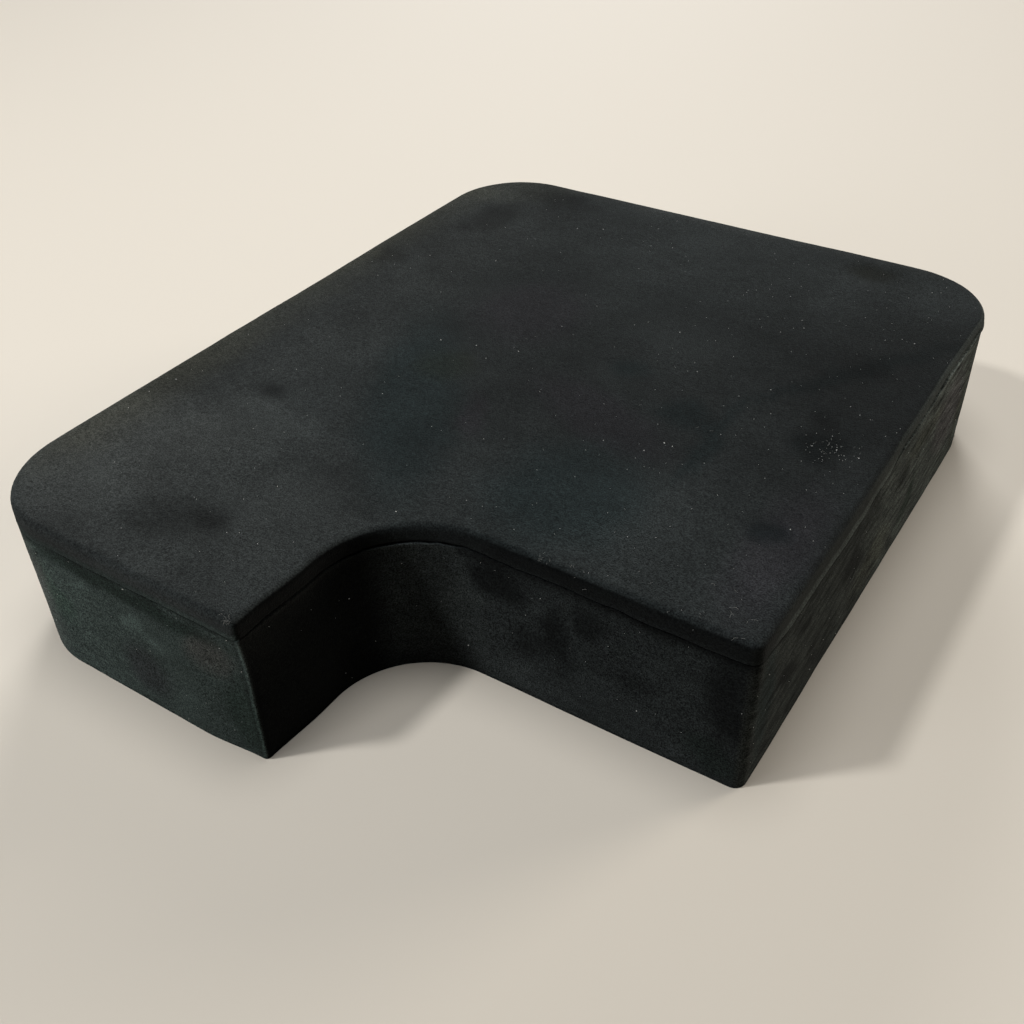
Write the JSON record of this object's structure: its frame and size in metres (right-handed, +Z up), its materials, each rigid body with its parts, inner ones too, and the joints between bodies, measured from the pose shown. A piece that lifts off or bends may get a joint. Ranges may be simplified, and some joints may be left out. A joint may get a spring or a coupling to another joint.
{
  "type": "covered foam block",
  "caption": "Firm rectangular foam block with an open notch in one corner, rounded plan corners and a soft faux suede cover glued over it.",
  "frame": {"origin": "the middle of the base of the block's overall box, on the surface that it stands on", "axes": "+Z up, +Y from the notched front to the back, +X right, so the notch takes the corner at +X and -Y"},
  "size_m": [0.208, 0.262, 0.05],
  "materials": {
    "foam": "closed-cell foam, cut smooth",
    "suede_top": "brushed microfibre faux suede, black, short nap with finger marks and dust",
    "suede_side": "brushed microfibre faux suede, black, rubbed in places",
    "suede_base": "brushed microfibre faux suede, black, flat"
  },
  "bodies": {
    "root": {"foam_core": "foam", "top_panel": "suede_top", "side_band": "suede_side", "bottom_panel": "suede_base"}
  },
  "joints": []
}
